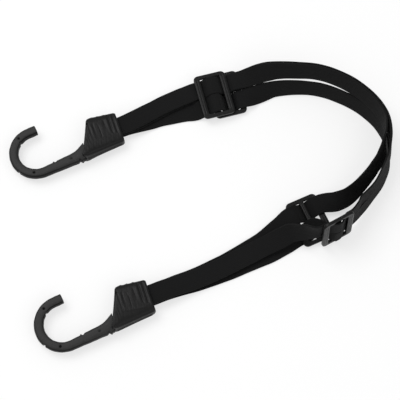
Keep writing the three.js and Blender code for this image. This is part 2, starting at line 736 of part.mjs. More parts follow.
const sliders = {
  upper_slider_top: upperTop, upper_slider_low: upperLow, lower_slider_top: lowerTop, lower_slider_low: lowerLow,
};
Object.entries(sliders).forEach(([name, slider]) => {
  addPart(name, sliderSolid(slider), material(0x1c1c1d, 0.45, 0));
});

const ends = { upper: upperMouth, lower: lowerMouth };
Object.entries(ends).forEach(([name, mouth]) => {
  const place = (geometry) => geometry.clone().rotateZ(radians(armHeading)).translate(mouth[0], mouth[1], 0);
  addPart(`${name}_hook_core`, place(coreRod(coreDiameter)), material(0x9a9c9e, 0.35, 1));
  addPart(`${name}_hook_sheath`, place(fromManifold(sheathSolid())), material(0x202021, 0.5, 0));
  addPart(`${name}_socket`, place(fromManifold(socketSolid())), material(0x161616, 0.6, 0));
  addPart(`${name}_crimp_clip`, place(clipSolid()), material(0xa5a7aa, 0.4, 1));
});

// Rest the strap on the table and centre it over the origin
const bounds = new THREE.Box3().setFromObject(group);
const middle = bounds.getCenter(new THREE.Vector3());
group.children.forEach((mesh) => mesh.geometry.translate(-middle.x, -middle.y, -bounds.min.z));

export default group;
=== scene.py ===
"""Adjustable flat elastic strap with a moulded hook at each end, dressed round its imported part.

Lengths are worked out in millimetres and put into the meshes in metres. +Z is up and the strap
lies on the table as a U that opens to the left.
"""
import math

import bpy
import numpy as np
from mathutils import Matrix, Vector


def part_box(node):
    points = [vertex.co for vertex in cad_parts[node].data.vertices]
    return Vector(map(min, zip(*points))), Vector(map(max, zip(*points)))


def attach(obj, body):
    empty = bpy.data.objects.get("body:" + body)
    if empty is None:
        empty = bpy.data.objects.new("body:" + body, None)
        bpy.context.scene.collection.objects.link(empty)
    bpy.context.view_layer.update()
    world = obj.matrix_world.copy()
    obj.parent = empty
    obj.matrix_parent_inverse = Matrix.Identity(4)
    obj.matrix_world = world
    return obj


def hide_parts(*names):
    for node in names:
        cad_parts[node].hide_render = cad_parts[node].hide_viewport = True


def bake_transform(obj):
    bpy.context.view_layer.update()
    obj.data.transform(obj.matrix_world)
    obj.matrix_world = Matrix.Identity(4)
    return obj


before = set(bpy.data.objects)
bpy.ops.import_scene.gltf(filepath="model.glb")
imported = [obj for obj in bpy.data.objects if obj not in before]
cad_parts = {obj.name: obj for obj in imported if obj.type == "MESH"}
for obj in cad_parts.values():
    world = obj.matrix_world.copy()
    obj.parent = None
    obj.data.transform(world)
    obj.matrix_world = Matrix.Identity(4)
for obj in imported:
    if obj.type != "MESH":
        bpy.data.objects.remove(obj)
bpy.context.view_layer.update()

MM = 0.001

# Camera: target and distance in metres, elevation in degrees, lens and sensor in millimetres

CAMERA_TARGET = (0.00013, 0.00589, 0.0)
CAMERA_DISTANCE = 0.803
CAMERA_ELEVATION = 70.0
CAMERA_LENS = 99.0
CAMERA_SENSOR = 36.0


def make_camera():
    """Camera in front of the strap, raised by the elevation and looking at the target."""
    data = bpy.data.cameras.new("camera")
    data.sensor_width = CAMERA_SENSOR
    data.lens = CAMERA_LENS
    camera = bpy.data.objects.new("camera", data)
    bpy.context.scene.collection.objects.link(camera)
    rise = math.radians(CAMERA_ELEVATION)
    x, y, z = CAMERA_TARGET
    camera.location = (x, y - CAMERA_DISTANCE * math.cos(rise), z + CAMERA_DISTANCE * math.sin(rise))
    camera.rotation_euler = (math.pi / 2 - rise, 0.0, 0.0)
    bpy.context.scene.camera = camera


make_camera()

# Bands: section, and the gaps between flat layers, layers on edge, neighbours, bars and the table

BAND_WIDTH = 14.0
BAND_THICKNESS = 1.4
LAY_GAP = 0.35
BEND_GAP = 0.5
SIDE_GAP = 0.4
WEAVE_GAP = 0.4
TABLE_GAP = 0.05

# Sliders: frame, bars and slots, and half the run over which a band lies straight on a bar

SLIDER_LENGTH = 24.2
SLIDER_CORNER = 3.4
RAIL_WIDTH = 3.0
BAR_WIDTH = 3.3
END_BAR_WIDTH = 4.6
BAR_THICKNESS = 2.4
SLOT_WIDTH = 29.4
SLOT_CORNER = 0.8
BAR_DWELL = 1.0
END_BAR_DWELL = 1.5

# Sockets: middle height, length, how far the bands go in, heading of the arms and their mouths

SOCKET_MID = 6.896
SOCKET_LENGTH = 32.1
BAND_INSIDE = 14.8
ARM_HEADING = 19.5
UPPER_MOUTH = (-59.5, 53.8)
LOWER_MOUTH = (-34.8, -74.6)

# Plan line of the strap between the two mouths

PLAN_POINTS = [
    (-37, 61.9), (-16, 70.8), (-2.3, 77.3), (10.3, 80.6), (32.6, 86.4), (50, 90.2), (70, 91.2),
    (90, 88.5), (108, 81), (122.5, 70), (132.2, 56.5), (136.5, 42), (137.6, 27), (133.8, 12.5),
    (125.2, 0), (115.5, -8.6), (104.5, -15.6), (92, -21.4), (79, -27.3), (66.8, -32.9),
    (50, -40.2), (35.4, -46.7), (18, -54.8), (0, -62.2), (-17.5, -68.6),
]

# Half the run over which a direction is measured
PROBE = 0.05

LAY_STEP = BAND_THICKNESS + LAY_GAP
SIDE_STEP = (BAND_WIDTH + SIDE_GAP) / 2
WEAVE_STEP = (BAR_THICKNESS + BAND_THICKNESS) / 2 + WEAVE_GAP
BAR_PITCH = (SLIDER_LENGTH - END_BAR_WIDTH) / 2
SLIDER_HALF_WIDE = SLOT_WIDTH / 2 + RAIL_WIDTH
LOW_Z = BAND_THICKNESS + WEAVE_GAP + BAR_THICKNESS / 2
HIGH_Z = LOW_Z + 2 * WEAVE_STEP


def ease(share):
    """Smooth step: 3 s^2 - 2 s^3, where s is the share held between 0 and 1."""
    held = np.clip(share, 0, 1)
    return held * held * (3 - 2 * held)


def catmull_rom(points, steps=90):
    """Centripetal Catmull-Rom line through points: each span is the cubic whose end slopes come from
    the neighbouring chords, weighted by the square roots of the chord lengths."""
    p = np.array(points, float)
    p = np.vstack([2 * p[0] - p[1], p, 2 * p[-1] - p[-2]])
    root = np.linalg.norm(np.diff(p, axis=0), axis=1)[:, None] ** 0.5
    t = np.linspace(0, 1, steps, endpoint=False)[:, None]
    line = []
    for i in range(1, len(p) - 2):
        before, here, after = root[i - 1], root[i], root[i + 1]
        a, b, c, d = p[i - 1], p[i], p[i + 1], p[i + 2]
        leave = here * ((b - a) / before - (c - a) / (before + here) + (c - b) / here)
        arrive = here * ((c - b) / here - (d - b) / (here + after) + (d - c) / after)
        square = 3 * (c - b) - 2 * leave - arrive
        cube = 2 * (b - c) + leave + arrive
        line.append(b + leave * t + square * t**2 + cube * t**3)
    return np.vstack([*line, p[-2:-1]])


heading = np.array([math.cos(math.radians(ARM_HEADING)), math.sin(math.radians(ARM_HEADING))])
plan_line = catmull_rom([
    np.array(UPPER_MOUTH) - BAND_INSIDE * heading, UPPER_MOUTH, *PLAN_POINTS,
    LOWER_MOUTH, np.array(LOWER_MOUTH) - BAND_INSIDE * heading,
])
plan_reach = np.concatenate([[0], np.cumsum(np.linalg.norm(np.diff(plan_line, axis=0), axis=1))])
END = float(plan_reach[-1])


def plan_at(distance):
    """Point of the plan line, its direction, and the sideways direction to the left of travel."""
    distance = np.asarray(distance, float)

    def point(s):
        return np.stack([np.interp(s, plan_reach, plan_line[:, k]) for k in (0, 1)], -1)

    along = point(np.minimum(distance + PROBE, END)) - point(np.maximum(distance - PROBE, 0))
    along /= np.linalg.norm(along, axis=-1, keepdims=True)
    return point(distance), along, np.stack([-along[..., 1], along[..., 0]], -1)


# The standing slider leans on one rail just above the table, and the lying one stops beside its foot
STAND_TILT = 96.0
STAND_SHIFT = 8.6
STAND_CLEAR = 0.3
FOOT_GAP = 0.64
stand = math.radians(STAND_TILT)
STAND_Z = SLIDER_HALF_WIDE * math.sin(stand) + BAR_THICKNESS / 2 * abs(math.cos(stand)) + STAND_CLEAR
STAND_FOOT = STAND_SHIFT + (LOW_Z - STAND_Z) / math.tan(stand)
LYING_SHIFT = STAND_FOOT - BAR_THICKNESS / 2 / math.sin(stand) - FOOT_GAP - SLIDER_HALF_WIDE

# Sliders: distance along the plan line, sideways shift, height, tilt, yaw and the side of the ridges
SLIDERS = {
    "upper_slider_top": (89.84, 0.0, HIGH_Z, 0.0, 0.0, 1),
    "upper_slider_low": (99.24, 0.0, LOW_Z, 0.0, 0.0, -1),
    "lower_slider_top": (324.2, STAND_SHIFT, STAND_Z, STAND_TILT, 5.0, -1),
    "lower_slider_low": (335.6, LYING_SHIFT, LOW_Z, 180.0, 0.0, -1),
}


def bar_rows(slider, bar, across, lift, extra=0.0):
    """Two rows that hold a band over or under bar -1, 0 or 1: the place beside the slider's middle,
    turned by its tilt about the strap and its yaw about the vertical. Extra lengthens the run."""
    at, shift, height, tilt, yaw, _ = SLIDERS[slider]
    turn, swing = math.radians(tilt), math.radians(yaw)
    reach = across * math.cos(turn) - lift * math.sin(turn)
    rise = height + across * math.sin(turn) + lift * math.cos(turn)
    dwell = END_BAR_DWELL if bar else BAR_DWELL
    rows = []
    for run in (bar * BAR_PITCH - dwell, bar * BAR_PITCH + dwell + extra):
        distance = at + run * math.cos(swing) - reach * math.sin(swing)
        rows.append((distance, shift + run * math.sin(swing) + reach * math.cos(swing), rise, tilt))
    return rows


# Bend, where the bundle stands on edge: distance, tilt, sideways shift, room between its two strips
BEND = [
    (121, 28, 0.1, 0.5), (128.5, 44, -0.5, 1.2), (136, 58, -1, 2.2), (151, 67, -1.4, 3),
    (166, 72, -1.4, 4), (190, 73, -0.8, 2.6), (208, 76, 0, 1), (225, 82, 0.6, 0.8),
    (240, 91, 0.6, 0.8), (256, 101, -0.9, 1), (271, 102, -2.3, 1.6), (285, 99.3, -1.6, 2),
]


def bend_rows(strip, layer):
    """Rows of one band in the bend: strip 1 stands above strip -1, layers -1 to 1 are face to face."""
    rows = []
    for distance, tilt, shift, room in BEND:
        turn = math.radians(tilt)
        low = (BAND_WIDTH * math.sin(turn) + BAND_THICKNESS * abs(math.cos(turn))) / 2 + LAY_GAP
        across = BAND_WIDTH + room if strip > 0 else 0.0
        lift = layer * (BAND_THICKNESS + BEND_GAP) / 2
        start = shift - SIDE_STEP * math.cos(turn)
        side = start + across * math.cos(turn) - lift * math.sin(turn)
        rows.append((distance, side, low + across * math.sin(turn) + lift * math.cos(turn), tilt))
    return rows


STACK_LOW = SOCKET_MID - LAY_STEP
STACK_TOP = SOCKET_MID + LAY_STEP
REST_LOW = BAND_THICKNESS / 2 + TABLE_GAP
REST_MID = REST_LOW + LAY_STEP
REST_TOP = REST_MID + LAY_STEP
NEAR, FAR = -SIDE_STEP, SIDE_STEP
UP, DOWN = WEAVE_STEP, -WEAVE_STEP
TOP_U, LOW_U, TOP_L, LOW_L = SLIDERS

# Distance from which band_b leaves the bundle of the bend
PART_FROM = 230

# Routes of the bands, whose rows are distance, sideways shift, height and tilt
ROUTES = {
    "band_c": [
        (0, 0, STACK_LOW, 0), (19, 0.4, STACK_LOW, 0), (42, 0.4, REST_LOW + 0.4, 0),
        (56, -1.6, REST_LOW, 0), (65, -3.8, REST_LOW + 0.1, 0), (71.5, -6.3, REST_LOW + 0.5, 0),
        *bar_rows(TOP_U, -1, NEAR - 0.3, DOWN - 1.3), *bar_rows(TOP_U, 0, NEAR - 0.2, UP),
        *bar_rows(LOW_U, 0, NEAR - 0.2, DOWN), *bar_rows(LOW_U, 1, NEAR - 0.2, UP),
        *bend_rows(-1, 0), (299, 1.9, 8.6, 102),
        *bar_rows(TOP_L, -1, NEAR + 0.2, UP), *bar_rows(TOP_L, 0, NEAR + 0.2, DOWN - 0.1, 0.9),
        (331.2, 3.4, 11.4, 136), (334.2, -0.2, 9.3, 154), (337.6, -2.2, 6.2, 176),
        *bar_rows(LOW_L, 1, NEAR, UP),
        (358.5, -0.6, REST_LOW, 180), (375, 0.9, REST_LOW, 180), (400, 0.3, REST_LOW, 180),
        (424, -0.6, REST_LOW + 0.1, 180), (446, -1.2, STACK_LOW - 1.4, 180),
        (457, -0.7, STACK_LOW, 180), (END, 0, STACK_LOW, 180),
    ],
    "band_a": [
        (0, 0, SOCKET_MID, 0), (19, 0.8, SOCKET_MID, 0), (42, 5.4, REST_MID + 0.4, 0),
        (56, 7.2, REST_MID, 0), (65, 7.6, REST_MID, 0), (71.5, 7.5, REST_MID + 0.3, 0),
        *bar_rows(TOP_U, -1, FAR, DOWN - LAY_STEP), *bar_rows(LOW_U, -1, FAR, UP),
        *bar_rows(LOW_U, 0, FAR, DOWN), *bar_rows(LOW_U, 1, FAR, UP),
        *bend_rows(1, -1), (299, -1.1, 23.1, 97.5), (306, 2.2, 24.2, 98),
        *bar_rows(TOP_L, -1, FAR + 0.2, UP), *bar_rows(TOP_L, 0, FAR + 0.2, DOWN),
        *bar_rows(TOP_L, 1, FAR + 0.2, UP + 0.2, 1.6),
        (346.4, 0.8, 17.6, 122), (356.5, -4.4, 10.6, 150), (371, -4.4, REST_TOP + 1.2, 172),
        (387, -3.6, REST_TOP, 180), (401, -3, REST_TOP, 180), (424, -2, REST_TOP + 0.1, 180),
        (446, -1.4, STACK_TOP - 1.4, 180), (457, -0.9, STACK_TOP, 180), (END, 0, STACK_TOP, 180),
    ],
    "band_b": [
        (0, 0, STACK_TOP, 0), (19, 1.2, STACK_TOP, 0), (42, 6.2, REST_TOP + 0.4, 0),
        (56, 7.8, REST_TOP, 0), (65, 8, REST_TOP, 0), (71.5, 7.5, REST_TOP + 0.3, 0),
        *bar_rows(TOP_U, -1, FAR, DOWN), *bar_rows(TOP_U, 0, FAR, UP),
        *bar_rows(TOP_U, 1, FAR, DOWN), *bar_rows(LOW_U, 1, FAR, UP + LAY_STEP + 0.6),
        *[row for row in bend_rows(1, 1) if row[0] < PART_FROM],
        (238, -1.6, 21.8, 93), (247, -4.6, 20.9, 107), (257, -6.4, 20, 122), (269, -10, 17, 117.5),
        (280, -11.2, 14.4, 119.5), (291, -11.5, 12, 123), (301, -11.5, 8.9, 137), (312, -12.8, 8, 160),
        *bar_rows(LOW_L, -1, FAR + 0.2, DOWN - 0.2), *bar_rows(LOW_L, 0, FAR + 0.2, UP),
        *bar_rows(LOW_L, 1, FAR + 0.2, DOWN - 0.2),
        (358.5, -13.8, REST_MID, 180), (375, -8.6, REST_MID, 180), (400, -5.4, REST_MID, 180),
        (424, -3.6, REST_MID + 0.1, 180), (446, -2.1, SOCKET_MID - 1.4, 180),
        (457, -1.1, SOCKET_MID, 180), (END, 0, SOCKET_MID, 180),
    ],
}


def row_curve(rows, column, distance):
    """Cubic through one column of the rows, level at each high and low point: between two rows it is
    the Hermite blend of their values and slopes, each slope the harmonic mean of its two neighbours."""
    x = np.array([row[0] for row in rows], float)
    y = np.array([row[column] for row in rows], float)
    gap, slope = np.diff(x), np.diff(y) / np.diff(x)
    tangent = np.zeros(len(x))
    same = slope[:-1] * slope[1:] > 0
    before, after = 2 * gap[1:] + gap[:-1], gap[1:] + 2 * gap[:-1]
    safe_a = np.where(same, slope[:-1], 1)
    safe_b = np.where(same, slope[1:], 1)
    tangent[1:-1] = np.where(same, (before + after) / (before / safe_a + after / safe_b), 0)
    i = np.clip(np.searchsorted(x, distance, side="left") - 1, 0, len(x) - 2)
    t = np.clip((distance - x[i]) / gap[i], 0, 1)
    bulge = tangent[i] * gap[i] * (t**3 - 2 * t**2 + t) + tangent[i + 1] * gap[i] * (t**3 - t**2)
    return y[i] + (y[i + 1] - y[i]) * ease(t) + bulge


def band_frame(rows, distance):
    """Centre of a band and its two directions: across its width and out of its face."""
    def place(s):
        point, _, outward = plan_at(s)
        flat = point + outward * row_curve(rows, 1, s)[:, None]
        return np.column_stack([flat, row_curve(rows, 2, s)])

    along = place(np.minimum(distance + PROBE, END)) - place(np.maximum(distance - PROBE, 0))
    along /= np.linalg.norm(along, axis=1, keepdims=True)
    turn = np.radians(row_curve(rows, 3, distance))[:, None]
    across = np.hstack([plan_at(distance)[2] * np.cos(turn), np.sin(turn)])
    across -= along * (across * along).sum(1, keepdims=True)
    across /= np.linalg.norm(across, axis=1, keepdims=True)
    return place(distance), across, np.cross(along, across)


# The part is centred over its origin: the shift comes from the CAD band's own box
every = np.arange(0, END, 0.5)
centre_c, across_c, _ = band_frame(ROUTES["band_c"], every)
half_c = across_c * BAND_WIDTH / 2
edges_c = np.vstack([centre_c + half_c, centre_c - half_c])
box_low, box_high = (np.array(v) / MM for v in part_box("band_c"))
SHIFT = np.append(((box_low + box_high) / 2)[:2] - (edges_c.min(0) + edges_c.max(0))[:2] / 2, 0)

# Meshes


def grid_quads(rows, columns):
    """Quads between the rings of a grid whose columns close on themselves."""
    i, j = np.meshgrid(np.arange(rows - 1), np.arange(columns), indexing="ij")
    k = (j + 1) % columns
    quads = [i * columns + j, i * columns + k, (i + 1) * columns + k, (i + 1) * columns + j]
    return np.stack(quads, -1).reshape(-1, 4)


def cap_fans(columns, offset):
    """Two fans that close the first and last ring, on their own copies of the rings' points."""
    ring = np.arange(columns) + 1
    turned = np.roll(ring, -1)
    middle = np.zeros(columns, int)
    first = np.stack([middle, turned, ring], 1) + offset
    last = np.stack([middle, ring, turned], 1) + offset + columns + 1
    return np.vstack([first, last])


def with_ends(grid):
    """All points of a grid of rings, then the middle and points of its first and of its last ring."""
    ends = [part for ring in (grid[0], grid[-1]) for part in (ring.mean(0, keepdims=True), ring)]
    return np.vstack([grid.reshape(-1, grid.shape[-1]), *ends])


def ring_solid(rings):
    """Points, quads and triangles of a closed solid from an array of rings (rows, columns, 3)."""
    rows, columns = rings.shape[:2]
    return with_ends(rings), grid_quads(rows, columns), cap_fans(columns, rows * columns)


def signed_volume(points, quads, triangles):
    """Sum over the faces of a . (b x c) / 6, positive where the faces point outwards."""
    split = np.vstack([quads[:, [0, 1, 2]], quads[:, [0, 2, 3]], triangles])
    a, b, c = (points[split[:, k]] for k in range(3))
    return float((a * np.cross(b, c)).sum() / 6)


def add_mesh(name, points, quads, triangles, look, uv=None):
    """Object at the origin with the place in its mesh; the faces are turned outwards as a whole."""
    if signed_volume(points - points.mean(0), quads, triangles) < 0:
        quads, triangles = quads[:, ::-1], triangles[:, ::-1]
    mesh = bpy.data.meshes.new(name)
    corners = np.concatenate([quads.ravel(), triangles.ravel()]).astype(np.int32)
    totals = np.concatenate([np.full(len(quads), 4), np.full(len(triangles), 3)]).astype(np.int32)
    starts = np.concatenate([[0], np.cumsum(totals)[:-1]]).astype(np.int32)
    mesh.vertices.add(len(points))
    mesh.vertices.foreach_set("co", ((points + SHIFT) * MM).astype(np.float32).ravel())
    mesh.loops.add(len(corners))
    mesh.loops.foreach_set("vertex_index", corners)
    mesh.polygons.add(len(totals))
    mesh.polygons.foreach_set("loop_start", starts)
    mesh.polygons.foreach_set("use_smooth", np.ones(len(totals), bool))
    if uv is not None:
        layer = mesh.uv_layers.new(name="weave")
        layer.data.foreach_set("uv", uv[corners].astype(np.float32).ravel())
    mesh.update(calc_edges=True)
    mesh.validate()
    mesh.materials.append(look)
    made = bpy.data.objects.new(name, mesh)
    bpy.context.scene.collection.objects.link(made)
    return made


# Materials: patterns on the webbing are in millimetres, the others in metres

# Sockets of the colour Mix node, whose names are shared by its other kinds
MIX_LOW, MIX_HIGH, MIX_RESULT = 6, 7, 2


class Sum:
    """A number, vector or colour of a material; on numbers, Python's operators add the Math nodes."""

    def __init__(self, maker, socket):
        self.maker, self.socket = maker, socket

    def _math(self, operation, *values):
        return self.maker.node("ShaderNodeMath", {"operation": operation}, dict(enumerate(values)))

    def __add__(self, other):
        return self._math("ADD", self, other)

    def __radd__(self, other):
        return self._math("ADD", other, self)

    def __sub__(self, other):
        return self._math("SUBTRACT", self, other)

    def __rsub__(self, other):
        return self._math("SUBTRACT", other, self)

    def __mul__(self, other):
        return self._math("MULTIPLY", self, other)

    def __rmul__(self, other):
        return self._math("MULTIPLY", other, self)

    def __truediv__(self, other):
        return self._math("DIVIDE", self, other)

    def __rtruediv__(self, other):
        return self._math("DIVIDE", other, self)

    def sine(self):
        return self._math("SINE", self)

    def absolute(self):
        return self._math("ABSOLUTE", self)

    def fraction(self):
        return self._math("FRACT", self)

    def ping_pong(self, scale):
        return self._math("PINGPONG", self, scale)

    def step(self, low, high):
        """0 below low, 1 above high and a smooth rise between them."""
        sockets = {"Value": self, "From Min": low, "From Max": high}
        return self.maker.node("ShaderNodeMapRange", {"interpolation_type": "SMOOTHSTEP"}, sockets)


class Maker:
    """Builds one material's nodes."""

    def __init__(self, name):
        self.material = bpy.data.materials.new(name)
        self.material.use_nodes = True
        self.tree = self.material.node_tree
        self.shader = self.tree.nodes["Principled BSDF"]

    def node(self, kind, settings=None, sockets=None, output=0):
        """A node of that kind: its settings first, then the values or links of its sockets."""
        made = self.tree.nodes.new(kind)
        for key, value in (settings or {}).items():
            setattr(made, key, value)
        for key, value in (sockets or {}).items():
            self.feed(made.inputs[key], value)
        return Sum(self, made.outputs[output])

    def feed(self, target, value):
        """Links a Sum to the socket, or sets the socket to a plain value."""
        if isinstance(value, Sum):
            self.tree.links.new(value.socket, target)
        else:
            target.default_value = value

    def outputs(self, made, names):
        """Outputs of those names, from the node that made came out of."""
        return [Sum(self, made.socket.node.outputs[name]) for name in names]

    def axes(self, output):
        """The three numbers of Texture Coordinate's output of that name."""
        vector = self.node("ShaderNodeTexCoord", output=output)
        return self.outputs(self.node("ShaderNodeSeparateXYZ", sockets={"Vector": vector}), "XYZ")

    def vector(self, x, y, z=0.0):
        return self.node("ShaderNodeCombineXYZ", sockets={"X": x, "Y": y, "Z": z})

    def noise(self, vector, scale, detail=2.0, roughness=0.5):
        sockets = {"Vector": vector, "Scale": scale, "Detail": detail, "Roughness": roughness}
        return self.node("ShaderNodeTexNoise", sockets=sockets)

    def mix(self, factor, low, high):
        """Colour low where factor is 0 and high where it is 1."""
        sockets = {"Factor": factor, MIX_LOW: low, MIX_HIGH: high}
        return self.node("ShaderNodeMix", {"data_type": "RGBA"}, sockets, MIX_RESULT)

    def bump(self, height, distance, strength=1.0):
        sockets = {"Height": height, "Distance": distance, "Strength": strength}
        return self.node("ShaderNodeBump", sockets=sockets)

    def finish(self, **sockets):
        """Feeds the Principled shader; an underscore in a name stands for a space."""
        for key, value in sockets.items():
            self.feed(self.shader.inputs[key.replace("_", " ")], value)
        return self.material


def grey(level, warmth=0.0):
    """Colour of that level, a little warmer or cooler."""
    return (level * (1 + warmth), level, level * (1 - warmth), 1.0)


RIB_PITCH = 1.27
YARN_PITCH = 0.62
YARN_LEAN = 2.2
EDGE_FROM = 6.0
EDGE_FADE = 0.8
WEBBING_DARK = grey(0.0032)
WEBBING_PALE = grey(0.0085, -0.02)
LINT = grey(0.035)
WEBBING_RELIEF = 0.00012


def webbing():
    """Black braided elastic: rubber ribs along it, a chevron of yarns over them and a little lint."""
    m = Maker("black_elastic_webbing")
    along, across, _ = m.axes("UV")
    rib = (across * (2 * math.pi / RIB_PITCH)).sine()
    lean = (across / (2 * RIB_PITCH)).ping_pong(0.5) * YARN_LEAN
    yarn = ((along / YARN_PITCH + lean).fraction() - 0.5).absolute() * 2
    edge = (across.absolute() - EDGE_FROM).step(0.0, EDGE_FADE)
    fuzz = m.noise(m.vector(along * 0.55, across * 1.4), scale=2.6, detail=4.0, roughness=0.6)
    stretched = m.vector(along * 0.8, across * 3.5, 4.0)
    lint = m.noise(stretched, scale=1.9, detail=5.0, roughness=0.75).step(0.66, 0.74)
    tone = fuzz * 0.5 + yarn * 0.3 + (rib + 1) * 0.12
    dusty = m.mix(lint * 0.3, m.mix(tone, WEBBING_DARK, WEBBING_PALE), LINT)
    height = yarn * 0.45 + rib * 0.35 + fuzz * 0.25 + edge * 0.2
    return m.finish(
        Base_Color=dusty,
        Roughness=0.78 + fuzz * 0.14,
        Normal=m.bump(height, WEBBING_RELIEF, strength=0.7),
        Sheen_Weight=0.04,
        Sheen_Roughness=0.5,
        Specular_IOR_Level=0.16,
    )


def moulded(name, level, rough, grain, shine, crown=None):
    """Black moulded plastic: fine spark-eroded grain, soft flow marks and scuffed, paler high spots.
    Above the crown's heights, in metres, its colour is painted light of a lit top; below them its sides
    get painted shade."""
    m = Maker(name)
    place = m.node("ShaderNodeTexCoord", output="Object")
    fine = m.noise(place, scale=2600.0, detail=3.0, roughness=0.6)
    flow = m.noise(place, scale=160.0, detail=3.0, roughness=0.55)
    scuff = m.noise(place, scale=620.0, detail=5.0, roughness=0.72).step(0.56, 0.7)
    base = m.mix(flow, grey(level * 0.75), grey(level * 1.25, 0.01))
    wear_and_painted_light = m.mix(scuff * 0.3, base, grey(level * 2.6))
    # Painted light and shade: above the crown heights the colour stands for the lit top, and below them
    # the sides are painted near black as shade
    if crown:
        painted_top_light = m.axes("Object")[2].step(*crown)
        wear_and_painted_light = m.mix(painted_top_light, grey(level * 0.12), wear_and_painted_light)
    return m.finish(
        Base_Color=wear_and_painted_light,
        Roughness=rough + flow * 0.16 - 0.08 + scuff * 0.08,
        Normal=m.bump(fine * 0.5 + flow * 1.4, grain),
        Specular_IOR_Level=shine,
    )


def steel(name, level, rough):
    """Drawn steel: fine streaks, and a grey film in soft patches."""
    m = Maker(name)
    place = m.node("ShaderNodeTexCoord", output="Object")
    streak = m.noise(place, scale=900.0, detail=4.0, roughness=0.7)
    film = m.noise(place, scale=140.0)
    return m.finish(
        Base_Color=m.mix(film, grey(level * 0.8), grey(level, 0.01)),
        Metallic=1.0,
        Roughness=rough + streak * 0.2,
        Normal=m.bump(streak, 0.00003),
    )


# Heights in metres over which the hook's painted shade on its sides turns into the painted light of its
# top
HOOK_PAINTED_LIGHT_HEIGHTS = (0.0094, 0.0102)

LOOKS = {
    "webbing": webbing(),
    "slider_plastic": moulded("slider_black_plastic", 0.0065, rough=0.36, grain=0.00003, shine=0.18),
    "hook_plastic": moulded(
        "hook_black_plastic", 0.034, rough=0.42, grain=0.00005, shine=0.1, crown=HOOK_PAINTED_LIGHT_HEIGHTS,
    ),
    "socket_plastic": moulded("socket_black_plastic", 0.0058, rough=0.4, grain=0.00004, shine=0.19),
    "hook_steel": steel("hook_wire_steel", 0.55, rough=0.3),
    "clip_steel": steel("clip_sheet_steel", 0.6, rough=0.35),
}

# Bands as they are drawn: a little wider than the solids, ribbed, with round edges

DRAWN_HALF = BAND_WIDTH / 2 + 0.16
EDGE_ROUND = 0.4
EDGE_ANGLES = [60, 30, 0, -30, -60]
EDGE_SHARE = 0.92
FACE_POINTS = 57
RIB_COUNT = 11
RIB_DEPTH = 0.05
RING_STEP = 0.9

# Waves of the width, slow and quick, and the pucker of the edges: size, then distance per radian

SLOW_SWELL, SLOW_RUN = 0.006, 5.1
QUICK_SWELL, QUICK_RUN = 0.004, 2.3
PUCKER, PUCKER_RUN = 0.04, 3.7
PUCKER_SLANT = 0.5
PUCKER_FROM = 5.2
PHASES = {"band_a": 0.0, "band_b": 2.1, "band_c": 4.4}

# Least length of a band's free run on the strap
FREE_RUN = 100
CORD_POINTS = 60


def band_section():
    """Outline of the webbing, (points, 2): two faces with a cosine for their ribs, and round edges."""
    thick = BAND_THICKNESS / 2
    flat = DRAWN_HALF - EDGE_ROUND
    run = np.linspace(flat, -flat, FACE_POINTS)
    wave = np.cos(2 * np.pi * RIB_COUNT * (run + DRAWN_HALF) / (2 * DRAWN_HALF))
    face = np.stack([run, thick + (RIB_DEPTH * wave - RIB_DEPTH)], 1)
    turn = np.radians(EDGE_ANGLES)
    rim = np.stack([flat + EDGE_ROUND * np.cos(turn), thick * np.sin(turn) * EDGE_SHARE], 1)
    return np.vstack([rim[::-1], face, rim * [-1, 1], face[::-1] * [1, -1]])


def band_piece(name, node, start, end):
    """Ribbon of one band between two distances: each ring is the section laid on the band's own
    directions, its width and height wandering by a few sines of the distance."""
    count = max(2, int(round((end - start) / RING_STEP)) + 1)
    distance = np.linspace(start, end, count)
    centre, across, face = band_frame(ROUTES[node], distance)
    phase = PHASES[node]
    slow = SLOW_SWELL * np.sin(distance / SLOW_RUN + phase)
    quick = QUICK_SWELL * np.sin(distance / QUICK_RUN + 2 * phase)
    swell = 1 + slow + quick
    a, b = band_section().T
    pucker = PUCKER * np.sin(distance[:, None] / PUCKER_RUN + a[None] * PUCKER_SLANT + phase)
    width = a[None] * swell[:, None]
    lift = b[None] + pucker * (np.abs(a) > PUCKER_FROM)
    rings = centre[:, None] + across[:, None] * width[..., None] + face[:, None] * lift[..., None]
    uv = with_ends(np.stack(np.broadcast_arrays(distance[:, None], a[None]), -1))
    made = add_mesh(name, *ring_solid(rings), LOOKS["webbing"], uv)
    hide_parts(node)
    return made


def pull_point(node, distance):
    """Point of the table under a band's middle line at that distance, in metres."""
    middle = band_frame(ROUTES[node], np.array([float(distance)]))[0][0]
    return tuple((middle * [1, 1, 0] + SHIFT) * MM)


HOOK_U, HOOK_L = "upper_hook_end", "lower_hook_end"
